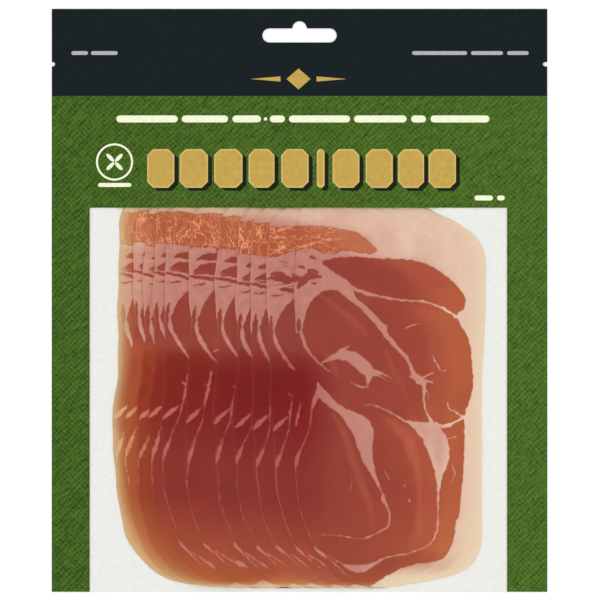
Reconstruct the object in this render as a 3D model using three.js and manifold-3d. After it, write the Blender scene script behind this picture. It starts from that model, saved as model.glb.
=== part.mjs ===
// A pack of sliced dry-cured ham: a flat pouch with a hanging slot, printed on the front, with a
// clear window over eleven shingled slices. Millimetres, +Z up. The pack lies on its back: +Y
// points to the header with the slot, +X to the right edge, and the origin is under its middle.

import * as THREE from 'three';
import { mergeVertices } from 'three/addons/utils/BufferGeometryUtils.js';
import Module from 'manifold-3d';

const wasm = await Module();
wasm.setup();

// Pouch, over its outer edges.
const packWidth = 213;
const packHeight = 250.6;
const filmThickness = 0.25;
const restGap = 0.05;                    // air between films and slices that lie together
const sealWidth = 10;                    // welded strip down each side

// Window in the front film. It runs on over the folded bottom end of the pouch.
const windowLeft = -90.3;
const windowRight = 89.3;
const windowTop = 39.9;
const windowGap = 0.06;                  // between the printed film and the clear one

// Hanging slot: a bar with round ends and a round hump for the hook.
const slotWidth = 32;
const slotHeight = 6.05;
const slotHumpRadius = 3.1;
const slotCentreY = 113.9;

// Tear notches, one cut into each side edge of the header.
const notchWidth = 1.85;
const notchY = 101.5;
const notchDepthLeft = 1.4;
const notchDepthRight = 1.9;

// Slices. The first lies at the bottom left and each next one a step further to the right.
const sliceWidth = 83.2;
const sliceThickness = 0.65;
const firstSliceLeft = -80.4;
const shingleSteps = [4.8, 5.4, 5.5, 5.4, 9.9, 12.4, 8.5, 8.4, 8.4, 8.5];
const sliceTop = 42.5;
const sliceBottom = -122.2;
const sliceSag = 1.5;                    // how much lower the middle slices reach than the first
const corners = {                        // each is the quarter of an ellipse, run by drop
  topLeft: { run: 6, drop: 80 },
  topRight: { run: 30, drop: 32 },
  bottomLeft: { run: 27, drop: 52 },
  bottomRight: { run: 32, drop: 24 },
};
const cornerSteps = 6;
const sliceRows = 5;                     // points across each station of a slice

// Front film over the slices.
const filmReach = 3;                     // run over which it comes down beside the outer slices
const headerRampStart = 44.5;
const headerRampRun = 41;
const headerRampSteps = 6;
const filmRows = 5;                      // rows over the level stretch of the slices
const foldHeights = [0, 0.55, 0.86, 0.97, 1];          // of the rise, up the folded bottom end
const foldOuter = [0, 0.05, 0.25, 0.75, 1.45];         // outer face, in from the bottom edge
const foldInner = [0.3, 0.38, 0.55, 0.95, 1.5];        // inner face
const flatStep = 0.4;                    // spacing of the same rows where the film is flat
const foldFullRise = 2;                  // rise from which the end stands as a full fold

const slicePitch = sliceThickness + restGap;
const floorOfContents = filmThickness + restGap;
const leftEdges = [firstSliceLeft];
for (const step of shingleSteps) leftEdges.push(leftEdges.at(-1) + step);
const rightEdges = leftEdges.map((left) => left + sliceWidth);
const filmLeftEdges = [firstSliceLeft - filmReach, ...leftEdges];
const filmRightEdges = [...rightEdges, rightEdges.at(-1) + filmReach];

const fraction = (value, from, to) => THREE.MathUtils.clamp((value - from) / (to - from), 0, 1);
const smooth = (part) => (1 - Math.cos(Math.PI * part)) / 2;

// How high a slice lies at x: one pitch for each of the `below` slices under it, which fades
// out between that slice's right edge and the next one's.
function heightOverSlices(below, x) {
  let height = 0;
  for (let slice = 0; slice < below; slice += 1) {
    height += slicePitch * (1 - fraction(x, filmRightEdges[slice], filmRightEdges[slice + 1]));
  }
  return height;
}

// Rise of the front film at x, which steps up slice by slice on the left and rests on the
// topmost slice on the right.
function filmRise(x) {
  let height = 0;
  leftEdges.forEach((left, slice) => {
    const climbed = fraction(x, filmLeftEdges[slice], left);
    const notPassed = 1 - fraction(x, filmRightEdges[slice], filmRightEdges[slice + 1]);
    height += slicePitch * climbed * notPassed;
  });
  return height;
}

// Closed sheet between an upper and an under grid of points. columns[i][j] holds both.
function sheetGeometry(columns) {
  const rows = columns[0].length;
  const positions = columns.flat().flatMap(({ upper, under }) => [...upper, ...under]);
  const upperIndex = (i, j) => 2 * (i * rows + j);
  const underIndex = (i, j) => upperIndex(i, j) + 1;
  const triangles = [];
  const addQuad = (a, b, c, d) => triangles.push(a, b, c, a, c, d);
  const lastColumn = columns.length - 1;
  const lastRow = rows - 1;
  for (let i = 0; i < lastColumn; i += 1) {
    for (let j = 0; j < lastRow; j += 1) {
      addQuad(upperIndex(i, j), upperIndex(i + 1, j), upperIndex(i + 1, j + 1), upperIndex(i, j + 1));
      triangles.push(underIndex(i, j), underIndex(i + 1, j + 1), underIndex(i + 1, j));
      triangles.push(underIndex(i, j), underIndex(i, j + 1), underIndex(i + 1, j + 1));
    }
    addQuad(underIndex(i, 0), underIndex(i + 1, 0), upperIndex(i + 1, 0), upperIndex(i, 0));
    addQuad(upperIndex(i, lastRow), upperIndex(i + 1, lastRow),
      underIndex(i + 1, lastRow), underIndex(i, lastRow));
  }
  for (let j = 0; j < lastRow; j += 1) {
    addQuad(upperIndex(0, j), upperIndex(0, j + 1), underIndex(0, j + 1), underIndex(0, j));
    addQuad(underIndex(lastColumn, j), underIndex(lastColumn, j + 1),
      upperIndex(lastColumn, j + 1), upperIndex(lastColumn, j));
  }
  const geometry = new THREE.BufferGeometry();
  geometry.setAttribute('position', new THREE.Float32BufferAttribute(positions, 3));
  geometry.setIndex(triangles);
  return geometry;
}

function solidFrom(geometry) {
  const bare = geometry.clone();
  bare.deleteAttribute('normal');
  bare.deleteAttribute('uv');
  const merged = mergeVertices(bare);
  return new wasm.Manifold(new wasm.Mesh({
    numProp: 3,
    vertProperties: Float32Array.from(merged.attributes.position.array),
    triVerts: Uint32Array.from(merged.index.array),
  }));
}

function geometryFrom(solid) {
  const mesh = solid.getMesh();
  const geometry = new THREE.BufferGeometry();
  geometry.setAttribute('position', new THREE.BufferAttribute(mesh.vertProperties, 3));
  geometry.setIndex(new THREE.BufferAttribute(mesh.triVerts, 1));
  return geometry;
}

// An upright prism through all of the pack, for cutting.
function cutter(shape) {
  const depth = 40;
  const geometry = new THREE.ExtrudeGeometry(shape, { depth, bevelEnabled: false, curveSegments: 12 });
  return solidFrom(geometry.translate(0, 0, -depth / 2));
}

function rectangleShape(left, right, bottom, top) {
  return new THREE.Shape([
    new THREE.Vector2(left, bottom), new THREE.Vector2(right, bottom),
    new THREE.Vector2(right, top), new THREE.Vector2(left, top),
  ]);
}

function slotShape() {
  const endRadius = slotHeight / 2;
  const endX = slotWidth / 2 - endRadius;
  const barTop = slotCentreY + endRadius;
  const shape = new THREE.Shape();
  shape.moveTo(-endX, slotCentreY - endRadius);
  shape.absarc(endX, slotCentreY, endRadius, -Math.PI / 2, Math.PI / 2);
  shape.absarc(0, barTop, slotHumpRadius, 0, Math.PI);
  shape.absarc(-endX, slotCentreY, endRadius, Math.PI / 2, 1.5 * Math.PI);
  return shape;
}

// A tear notch with a round end. side is -1 on the left edge and 1 on the right one.
function notchShape(side, depth) {
  const radius = notchWidth / 2;
  const edgeX = side * packWidth / 2;
  const endX = edgeX - side * (depth - radius);
  const mouthX = edgeX + side;
  const shape = new THREE.Shape();
  shape.moveTo(mouthX, notchY - side * radius);
  shape.lineTo(mouthX, notchY + side * radius);
  shape.absarc(endX, notchY, radius, side * Math.PI / 2, side * Math.PI / 2 + Math.PI);
  return shape;
}

// The header's slot and tear notches go through both films.
function cutHeader(film) {
  return film
    .subtract(cutter(slotShape()))
    .subtract(cutter(notchShape(-1, notchDepthLeft)))
    .subtract(cutter(notchShape(1, notchDepthRight)));
}

function backFilmGeometry() {
  const outline = rectangleShape(-packWidth / 2, packWidth / 2, -packHeight / 2, packHeight / 2);
  const film = new THREE.ExtrudeGeometry(outline, { depth: filmThickness, bevelEnabled: false });
  return geometryFrom(cutHeader(solidFrom(film)));
}

// Rows of the front film from the bottom edge to the top one. Each gives the y of its outer and
// inner face, in the fold and where the film is flat, and its share of the rise.
function filmRowList() {
  const bottom = -packHeight / 2;
  const rows = foldHeights.map((share, row) => ({
    outer: bottom + foldOuter[row], inner: bottom + foldInner[row], flat: bottom + flatStep * row, share,
  }));
  const addLevelRow = (y, share) => rows.push({ outer: y, inner: y, flat: y, share });
  const foldEnd = bottom + foldInner.at(-1);
  for (let row = 1; row <= filmRows; row += 1) {
    addLevelRow(THREE.MathUtils.lerp(foldEnd, headerRampStart, row / filmRows), 1);
  }
  for (let row = 1; row <= headerRampSteps; row += 1) {
    const part = row / headerRampSteps;
    addLevelRow(headerRampStart + headerRampRun * part, 1 - smooth(part));
  }
  addLevelRow(packHeight / 2, 0);
  return rows;
}

function frontSheet() {
  const edge = packWidth / 2;
  const stations = [-edge, -edge + sealWidth, ...filmLeftEdges, ...filmRightEdges, edge - sealWidth, edge];
  const columns = stations.map((x) => {
    const rise = filmRise(x);
    const folded = fraction(rise, 0, foldFullRise);
    return filmRowList().map(({ outer, inner, flat, share }) => {
      const underZ = floorOfContents + rise * share;
      return {
        upper: [x, THREE.MathUtils.lerp(flat, outer, folded), underZ + filmThickness],
        under: [x, THREE.MathUtils.lerp(flat, inner, folded), underZ],
      };
    });
  });
  return solidFrom(sheetGeometry(columns));
}

function windowCutter(gap) {
  const belowPack = -packHeight / 2 - 1;
  return cutter(rectangleShape(windowLeft + gap, windowRight - gap, belowPack, windowTop - gap));
}

const frontFilmGeometry = () => geometryFrom(cutHeader(frontSheet()).subtract(windowCutter(0)));
const windowGeometry = () => geometryFrom(frontSheet().intersect(windowCutter(windowGap)));

// How far an elliptic corner pulls the edge in, at a distance in from the side.
function cornerPull({ run, drop }, distance) {
  const part = 1 - fraction(distance, 0, run);
  return drop * (1 - Math.sqrt(1 - part * part));
}

// x of the corner's points, close together near the side, where the edge turns fastest.
function cornerStations({ run }) {
  const stations = [];
  for (let step = 0; step <= cornerSteps; step += 1) {
    stations.push(run * (1 - Math.cos((Math.PI / 2) * (step / cornerSteps))));
  }
  return stations;
}

function sliceGeometry(slice) {
  const left = leftEdges[slice];
  const right = rightEdges[slice];
  const sag = sliceSag * Math.sin(Math.PI * slice / (leftEdges.length - 1));
  const crossed = rightEdges.filter((edge) => edge > left && edge < right);
  const own = [
    ...cornerStations(corners.bottomLeft).map((distance) => left + distance),
    ...cornerStations(corners.bottomRight).map((distance) => right - distance),
  ].filter((x) => crossed.every((edge) => Math.abs(edge - x) > 0.5));
  const stations = [...crossed, ...own].sort((a, b) => a - b);
  const columns = stations.map((x) => {
    const high = sliceTop - cornerPull(corners.topLeft, x - left) - cornerPull(corners.topRight, right - x);
    const low = sliceBottom - sag + cornerPull(corners.bottomLeft, x - left)
      + cornerPull(corners.bottomRight, right - x);
    const z = floorOfContents + heightOverSlices(slice, x);
    return Array.from({ length: sliceRows }, (_, row) => {
      const y = THREE.MathUtils.lerp(low, high, row / (sliceRows - 1));
      return { upper: [x, y, z + sliceThickness], under: [x, y, z] };
    });
  });
  return sheetGeometry(columns);
}

function addPiece(group, name, geometry, finish) {
  geometry.computeVertexNormals();
  const piece = new THREE.Mesh(geometry, new THREE.MeshStandardMaterial(finish));
  piece.name = name;
  group.add(piece);
}

const pack = new THREE.Group();
addPiece(pack, 'back_film', backFilmGeometry(), { color: '#ebeae5', roughness: 0.4, metalness: 0 });
addPiece(pack, 'front_film', frontFilmGeometry(), { color: '#46622a', roughness: 0.45, metalness: 0 });
addPiece(pack, 'window', windowGeometry(), {
  color: '#ffffff', roughness: 0.08, metalness: 0, transparent: true, opacity: 0.25,
});
leftEdges.forEach((_, slice) => {
  const name = `slice_${String(slice + 1).padStart(2, '0')}`;
  addPiece(pack, name, sliceGeometry(slice), { color: '#9c4a38', roughness: 0.5, metalness: 0 });
});

export default pack;
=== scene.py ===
import math

import bpy
import numpy as np
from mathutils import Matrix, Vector
from mathutils.geometry import delaunay_2d_cdt


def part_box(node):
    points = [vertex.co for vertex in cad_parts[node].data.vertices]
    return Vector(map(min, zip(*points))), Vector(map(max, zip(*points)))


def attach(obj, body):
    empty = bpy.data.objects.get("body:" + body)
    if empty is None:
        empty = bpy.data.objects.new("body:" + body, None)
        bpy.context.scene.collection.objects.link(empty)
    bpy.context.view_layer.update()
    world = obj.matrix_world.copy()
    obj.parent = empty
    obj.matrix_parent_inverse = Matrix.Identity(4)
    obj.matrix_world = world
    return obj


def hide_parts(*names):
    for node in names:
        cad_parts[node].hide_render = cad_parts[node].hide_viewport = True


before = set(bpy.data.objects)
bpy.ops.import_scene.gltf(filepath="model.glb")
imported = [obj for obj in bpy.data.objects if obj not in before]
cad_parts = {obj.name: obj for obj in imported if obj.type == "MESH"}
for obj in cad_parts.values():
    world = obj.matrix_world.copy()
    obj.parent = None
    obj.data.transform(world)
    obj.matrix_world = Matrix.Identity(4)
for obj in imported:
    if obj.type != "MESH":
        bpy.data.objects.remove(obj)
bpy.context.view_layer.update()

mm = 0.001

# The pack lies on its back, header towards +Y. Places on it were picked on the photograph, in its
# pixels, and fromPhoto turns them into millimetres on the pack.
photo = {
    "pixel": 0.43,           # millimetres on the pack
    "middle": (299.55, 300.35),
    "size": 600,
}


def fromPhoto(points):
    points = np.asarray(points, float)
    placed = points.copy()
    placed[..., 0] = (points[..., 0] - photo["middle"][0]) * photo["pixel"]
    placed[..., 1] = (photo["middle"][1] - points[..., 1]) * photo["pixel"]
    return placed


def boxOf(node):
    low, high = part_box(node)
    return np.array(low) / mm, np.array(high) / mm


# sizes taken from the frame, in millimetres
backLow, backHigh = boxOf("back_film")
windowLow, windowHigh = boxOf("window")
sliceBoxes = [boxOf(f"slice_{number:02d}") for number in range(1, 12)]
sliceCount = len(sliceBoxes)
contentsFloor = sliceBoxes[0][0][2]
slicePitch = (sliceBoxes[-1][1][2] - sliceBoxes[0][1][2]) / (sliceCount - 1)
sliceThick = sliceBoxes[0][1][2] - contentsFloor
packBottom, packTop = backLow[1], backHigh[1]


def ramp(value, start, end):
    part = np.clip((value - start) / (end - start), 0, 1)
    return part * part * (3 - 2 * part)


def roundedCorners(points, closed, passes=2):
    # cuts each corner at a quarter of its sides, as Chaikin's curve does
    points = np.asarray(points, float)
    for _ in range(passes):
        following = np.roll(points, -1, axis=0) if closed else points[1:]
        current = points if closed else points[:-1]
        cut = np.stack([current * 0.75 + following * 0.25, current * 0.25 + following * 0.75], axis=1)
        cut = cut.reshape(-1, points.shape[1])
        points = cut if closed else np.vstack([points[:1], cut, points[-1:]])
    return points


def addMesh(name, verts, faces, smooth=True):
    mesh = bpy.data.meshes.new(name)
    mesh.from_pydata([tuple(v) for v in np.asarray(verts) * mm], [], faces)
    mesh.update()
    mesh.polygons.foreach_set("use_smooth", [smooth] * len(mesh.polygons))
    obj = bpy.data.objects.new(name, mesh)
    bpy.context.scene.collection.objects.link(obj)
    return obj


def pointAttribute(mesh, name, values):
    layer = mesh.attributes.new(name, "FLOAT", "POINT")
    layer.data.foreach_set("value", np.asarray(values, np.float32))


def readGrid(field, xs, ys, x, y):
    # a field's value at places between the points of its even grid
    step = xs[1] - xs[0]
    column = np.clip((x - xs[0]) / step, 0, len(xs) - 1.001)
    row = np.clip((y - ys[0]) / step, 0, len(ys) - 1.001)
    i, j = row.astype(int), column.astype(int)
    fi, fj = row - i, column - j
    return ((field[i, j] * (1 - fj) + field[i, j + 1] * fj) * (1 - fi)
            + (field[i + 1, j] * (1 - fj) + field[i + 1, j + 1] * fj) * fi)


def toSegment(x, y, x0, y0, x1, y1):
    # distance to a straight stretch, and how far along it its nearest place lies
    dx, dy = x1 - x0, y1 - y0
    along = np.clip(((x - x0) * dx + (y - y0) * dy) / max(dx * dx + dy * dy, 1e-9), 0, 1)
    return np.hypot(x - x0 - along * dx, y - y0 - along * dy), along


def insideOutline(points, x, y):
    inside = np.zeros(np.shape(x), bool)
    for (x0, y0), (x1, y1) in zip(points, np.roll(points, -1, axis=0)):
        if y0 != y1:
            crosses = (y < y0) != (y < y1)
            inside ^= crosses & (x < x0 + (y - y0) * (x1 - x0) / (y1 - y0))
    return inside


def rowOf(y):
    return photo["middle"][1] - y / photo["pixel"]


def columnOf(x):
    return x / photo["pixel"] + photo["middle"][0]


# the slices' layout: where each one's edges lie at a height y on the pack
sliceLayout = {
    "levels": (325, 440, 550),                  # photo rows at which the left edges were read
    "edges": [                                  # left edge of each slice at those rows
        (118.0, 114.4, 133.5), (133.3, 125.6, 145.0), (143.8, 138.2, 155.0), (153.7, 150.9, 166.0),
        (164.9, 163.5, 178.0), (189.4, 186.6, 203.0), (216.1, 215.4, 234.0), (236.4, 235.1, 254.5),
        (250.5, 254.7, 275.0), (267.0, 274.3, 295.0), (294.7, 294.0, 314.0),
    ],
    "lifts": (15, 15, 15, 15, 14, 13, 9, 7, 3, 1.5, 0),     # how much higher its marks lie, in pixels
    "wander": 0.35,                             # mm, how unevenly a left edge runs
    "wanderWaves": ((7.3, 1.0), (3.1, 0.6), (0.9, 0.12)),      # mm of a wave's length, and its share
    "wanderTurn": 1.7, "topmostWander": 0.25,
    "extraFoot": (0, 0, 0, 0, 0, 0, 0, 0.2, 0.6, 1.0, 1.3),      # mm that a slice reaches below its solid
    "topBends": (0, 0, 0, 0, 1, 3, 5, 9, 7, 11, 0),      # pixels, inward at the top
    "topBendRows": (208, 226), "topBendLimit": 1.4, "topBendCurve": 1.5,
}

# x of the outline, in photo pixels, against the photo row: the left side as on the first
# slice and the right side as on the topmost one
leftOutline = [
    (196, 128), (208, 124), (218, 120.7), (235, 120), (259, 118.6), (298, 117.2), (326, 119.3),
    (368, 117.9), (396, 114.4), (424, 112), (436, 114.4), (457, 113.7), (488, 115.8), (516, 120.7),
    (539, 127.7), (557, 138.9), (572, 153), (581, 169.8), (584, 183), (585.5, 192),
]
rightOutline = [
    (196, 395), (207.3, 425.2), (213.8, 437), (220.3, 452.7), (227.6, 464.2), (235.2, 474.1),
    (242.9, 480.3), (252, 484.9), (276.5, 486.4), (320, 485.2), (364, 482.5), (394, 481.8),
    (490, 482), (537.8, 482.3), (550.6, 479.7), (559.5, 475.3), (566, 468.9), (572.3, 457.4),
    (575.5, 444.6), (579.3, 428.7), (581.8, 412.8), (584.3, 394), (585.5, 384),
]
outlineFoot = {"from": 540.0, "to": 585.5}      # rows between which it stretches to a slice's own foot


def footOf(index):
    return sliceBoxes[index][0][1] - sliceLayout["extraFoot"][index]


def outlineAt(outline, rows):
    table = roundedCorners(outline, closed=False)
    return np.interp(rows, table[:, 0], table[:, 1])


def footRows(index, rows):
    # rows of the outlines' tables for a slice whose foot lies a little lower or higher
    foot = rowOf(footOf(index))
    start, end = outlineFoot["from"], outlineFoot["to"]
    return np.where(rows > start, start + (rows - start) * (end - start) / (foot - start), rows)


def shiftOf(index, rows):
    # how far slice `index` lies to the left of the topmost one, in pixels
    gaps = [edge - top for edge, top in zip(sliceLayout["edges"][index], sliceLayout["edges"][-1])]
    return np.interp(rows, sliceLayout["levels"], gaps)


def sideX(index, y):
    # left and right edge of a slice, in mm, at height y
    rows = footRows(index, rowOf(y))
    left = outlineAt(leftOutline, rows) - shiftOf(0, rows) + shiftOf(index, rows)
    right = outlineAt(rightOutline, rows) + shiftOf(index, rows)
    bendTop, bendFoot = sliceLayout["topBendRows"]
    bend = np.clip((bendFoot - rows) / (bendFoot - bendTop), 0, sliceLayout["topBendLimit"])
    left = left + sliceLayout["topBends"][index] * bend ** sliceLayout["topBendCurve"]
    phase = sliceLayout["wanderTurn"] * index
    wander = sum(share * np.sin(y / length + order * phase)
                 for order, (length, share) in enumerate(sliceLayout["wanderWaves"], 1))
    wander = sliceLayout["wander"] * wander
    if index == sliceCount - 1:
        wander = wander * sliceLayout["topmostWander"]
    left, right = ((side - photo["middle"][0]) * photo["pixel"] + wander for side in (left, right))
    return left, right


# how loosely the slices lie: lengths of two waves in mm, and how much of the height is given up
pileWaves = {"long": 31.0, "turn": 1.1, "squash": 1.3, "short": 13.0, "shortSize": 0.6, "lean": 0.7,
             "share": 0.06, "middle": 0.5, "swing": 0.31}


def looseness(x, y):
    long, short = pileWaves["long"], pileWaves["short"]
    wave = np.sin(x / long + pileWaves["turn"]) * np.sin(y / long * pileWaves["squash"])
    wave = wave + pileWaves["shortSize"] * np.sin(x / short - y / short * pileWaves["lean"])
    return 1 - pileWaves["share"] * (pileWaves["middle"] + pileWaves["swing"] * wave)


def coveredBy(index, x, y):
    # 1 over slice `index`, falling to 0 between its right edge and the next one's
    _, right = sideX(index, y)
    nextRight = sideX(index + 1, y)[1] if index + 1 < sliceCount else right + 3
    return 1 - ramp(x, right, np.maximum(nextRight, right + 1))


def sliceFloor(index, x, y):
    height = np.zeros_like(x)
    for below in range(index):
        height += coveredBy(below, x, y)
    return contentsFloor + slicePitch * looseness(x, y) * height


filmShape = {
    "grid": 0.5,             # mm between the heights that the film is read from
    "hug": 1.5,              # mm by which it stays off the edges of the slices
    "slope": 0.5,            # how steeply it comes down beside them
    "slopeReach": 30.0,      # mm over which it may come down
    "smoothing": 4,          # times that each height is averaged with its neighbours
    "endInset": 1.0,         # mm inside the slices' ends from which the film goes on level
    "rampStart": 44.5,       # y where the film leaves the slices
    "rampRun": 41.0,         # and the run over which it sinks to the header
    "foldDepth": 4.0,        # mm below the pack's edge at which the sheet's grid ends, to make the fold
    "foldHeights": (0, 0.55, 0.86, 0.97, 1),
    "foldInward": (0, 0.05, 0.25, 0.75, 1.45),
    "foldFullRise": 2.0,
    "clearance": 0.06,
}
filmFoot = packBottom - filmShape["foldDepth"]
filmXs = np.arange(backLow[0], backHigh[0] + filmShape["grid"], filmShape["grid"])
filmYs = np.arange(packBottom, packTop + filmShape["grid"], filmShape["grid"])


def insideSlice(index, x, y):
    left, right = sideX(index, y)
    return (x > left) & (x < right) & (y > footOf(index)) & (y < sliceBoxes[index][1][1])


def spread(height, drop):
    # each point takes the highest of its neighbours, less the drop towards it
    padded = np.pad(height, 1)
    result = height
    for dy in (0, 1, 2):
        for dx in (0, 1, 2):
            moved = padded[dy:dy + height.shape[0], dx:dx + height.shape[1]]
            result = np.maximum(result, moved - drop * math.hypot(dx - 1, dy - 1))
    return result


def drawFilmHeights():
    # height of the film over the back film: the pile's own height, drawn over its edges
    x, y = np.meshgrid(filmXs, filmYs)
    # under the printed header and at the bottom fold it goes on as over the slices' ends
    inset = filmShape["endInset"]
    reached = np.clip(y, sliceBoxes[0][0][1] + inset, sliceBoxes[0][1][1] - inset)
    height = np.zeros(x.shape)
    for index in range(sliceCount):
        top = sliceFloor(index, x, reached) + sliceThick - contentsFloor
        height = np.where(insideSlice(index, x, reached), np.maximum(height, top), height)
    for _ in range(int(filmShape["hug"] / filmShape["grid"])):
        height = spread(height, 0)
    for _ in range(int(filmShape["slopeReach"] / filmShape["grid"])):
        height = spread(height, filmShape["slope"] * filmShape["grid"])
    for _ in range(filmShape["smoothing"]):
        height = (height + np.roll(height, 1, 0) + np.roll(height, -1, 0) + np.roll(height, 1, 1)
                  + np.roll(height, -1, 1)) / 5
    return height


filmHeights = drawFilmHeights()


def filmPoints(x, v, lift):
    # v runs along the film: it is y on the flat and goes on down the folded bottom end
    foldStart = packBottom + filmShape["foldInward"][-1]
    rise = readGrid(filmHeights, filmXs, filmYs, x, np.maximum(v, foldStart))
    share = 1 - ramp(v, filmShape["rampStart"], filmShape["rampStart"] + filmShape["rampRun"])
    downFold = np.clip((foldStart - v) / (foldStart - filmFoot), 0, 1)
    steps = np.linspace(0, 1, len(filmShape["foldHeights"]))
    foldShare = np.interp(1 - downFold, steps, filmShape["foldHeights"])
    foldY = packBottom + np.interp(1 - downFold, steps, filmShape["foldInward"])
    flatY = foldStart - downFold * (foldStart - packBottom)
    folded = np.clip(rise / filmShape["foldFullRise"], 0, 1)
    y = np.where(v < foldStart, flatY + (foldY - flatY) * folded, v)
    z = contentsFloor + filmShape["clearance"] * share + lift + rise * share * foldShare
    return np.stack([x, y, z], axis=-1)


def toLinear(rgb):
    # photo colours are 8-bit sRGB
    part = np.asarray(rgb, float) / 255
    linear = np.where(part <= 0.04045, part / 12.92, ((part + 0.055) / 1.055) ** 2.4)
    return (*linear, 1.0)


class Graph:
    # a new material, with short ways to add nodes to it

    def __init__(self, name):
        self.material = bpy.data.materials.new(name)
        self.material.use_nodes = True
        self.nodes = self.material.node_tree.nodes
        self.shader = self.nodes["Principled BSDF"]

    def add(self, kind, **settings):
        node = self.nodes.new("ShaderNode" + kind)
        column, row = divmod(len(self.nodes), 8)      # set out in columns of eight, left to right
        node.location = (column * 200 - 2400, 900 - row * 250)
        for key, value in settings.items():
            if key in node.inputs:
                self.feed(node.inputs[key], value)
            else:
                setattr(node, key, value)
        return node

    def feed(self, socket, value):
        # a socket takes a link from another node or a value of its own
        if hasattr(value, "is_linked"):
            self.material.node_tree.links.new(value, socket)
        else:
            socket.default_value = value

    def place(self):
        return self.add("TexCoord").outputs["Object"]

    def mark(self, name, output="Fac"):
        return self.add("Attribute", attribute_name=name).outputs[output]

    def noise(self, where, scale, detail, **settings):
        return self.add("TexNoise", Vector=where, Scale=scale, Detail=detail, **settings).outputs["Fac"]

    def maths(self, operation, first, second=0.0, clamp=False):
        node = self.add("Math", operation=operation, use_clamp=clamp)
        self.feed(node.inputs[0], first)
        self.feed(node.inputs[1], second)
        return node.outputs[0]

    def centred(self, value, amount):
        # a noise brought round zero
        return self.maths("MULTIPLY", self.maths("SUBTRACT", value, 0.5), amount)

    def mix(self, factor, first, second, blend="MIX"):
        node = self.add("Mix", data_type="RGBA", blend_type=blend)
        self.feed(node.inputs[0], factor)
        colours = [socket for socket in node.inputs if socket.type == "RGBA"]
        self.feed(colours[0], first)
        self.feed(colours[1], second)
        return [socket for socket in node.outputs if socket.type == "RGBA"][0]

    def mottled(self, colour, noise, amount):
        # lighter and darker by a noise
        return self.mix(1.0, colour, self.maths("ADD", self.centred(noise, amount), 1.0), "MULTIPLY")

    def tones(self, value, stops):
        node = self.add("ValToRGB", Fac=value)
        elements = node.color_ramp.elements
        while len(elements) < len(stops):
            elements.new(0.5)
        for element, (position, colour) in zip(elements, stops):
            element.position = position
            element.color = colour
        return node.outputs["Color"]

    def finish(self, colour, look, bumps=None):
        for socket, value in (("Base Color", colour), ("Roughness", look["roughness"]),
                              ("Specular IOR Level", look["gloss"])):
            self.feed(self.shader.inputs[socket], value)
        if bumps:
            bump = self.add("Bump", Height=bumps, Strength=look["bump"], Distance=look["bumpHeight"])
            self.feed(self.shader.inputs["Normal"], bump.outputs["Normal"])
        return self.material


inkLook = {"grain": 520.0, "detail": 3.0, "darkUpTo": 0.3, "lightFrom": 0.7,
           "bump": 0.06, "bumpHeight": 0.0001, "roughness": 0.6, "gloss": 0.05}


def printedInk(name, rgb, mottle):
    graph = Graph(name)
    noise = graph.noise(graph.place(), inkLook["grain"], inkLook["detail"])
    dark = toLinear([part * (1 - mottle) for part in rgb])
    light = toLinear([min(255, part * (1 + mottle)) for part in rgb])
    colour = graph.tones(noise, [(inkLook["darkUpTo"], dark), (inkLook["lightFrom"], light)])
    return graph.finish(colour, inkLook, noise)


greenLook = {
    "dark": (38, 64, 13), "light": (95, 130, 49), "middle": 0.46,
    "lean": -45.0,           # degrees
    "threadLength": 0.5,
    # scale, detail and contrast of the noises in it
    "threads": (1150.0, 3.0, 0.95), "bands": (420.0, 2.0, 0.4), "patches": (45.0, 2.0, 0.12),
    # the weave's two sets of threads, how plain they are and how unevenly they run
    "weaves": {"X": 205.0, "Y": 165.0}, "weaveContrast": 0.17,
    "slack": 4.0, "slackDetail": 1.5, "slackScale": 1.2,
    "bump": 0.08,
    "drift": 0.55,           # how much lighter it gets towards the right, per metre
}


def greenInk():
    # a printed green with a fine slanting weave, like coarse cloth seen from afar
    graph = Graph("greenInk")
    place = graph.place()
    lean = (0, 0, math.radians(greenLook["lean"]))
    turned = graph.add("Mapping", Vector=place, Rotation=lean).outputs["Vector"]
    drawn = graph.add("Mapping", Vector=turned, Scale=(greenLook["threadLength"], 1, 1)).outputs["Vector"]
    scale, detail, contrast = greenLook["threads"]
    threads = graph.noise(drawn, scale, detail, Roughness=0.6)
    weave = graph.centred(threads, contrast)
    for name, where in (("bands", drawn), ("patches", place)):
        scale, detail, contrast = greenLook[name]
        weave = graph.maths("ADD", weave, graph.centred(graph.noise(where, scale, detail), contrast))
    for side, scale in greenLook["weaves"].items():
        rows = graph.add("TexWave", Vector=turned, bands_direction=side, Scale=scale,
                         Distortion=greenLook["slack"], Detail=greenLook["slackDetail"])
        rows.inputs["Detail Scale"].default_value = greenLook["slackScale"]
        weave = graph.maths("ADD", weave, graph.centred(rows.outputs["Fac"], greenLook["weaveContrast"]))
    across = graph.add("SeparateXYZ", Vector=place).outputs["X"]
    weave = graph.maths("ADD", weave, graph.maths("MULTIPLY", across, greenLook["drift"]))
    weave = graph.maths("ADD", weave, greenLook["middle"], clamp=True)
    colour = graph.tones(weave, [(0.1, toLinear(greenLook["dark"])), (0.9, toLinear(greenLook["light"]))])
    return graph.finish(colour, {**inkLook, "bump": greenLook["bump"]}, threads)


clearLook = {
    "roughness": 0.16, "tint": (0.99, 0.99, 0.99),
    "straight": 0.005, "glancing": 0.12, "steepness": 5.0,      # how much it mirrors
}


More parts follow.
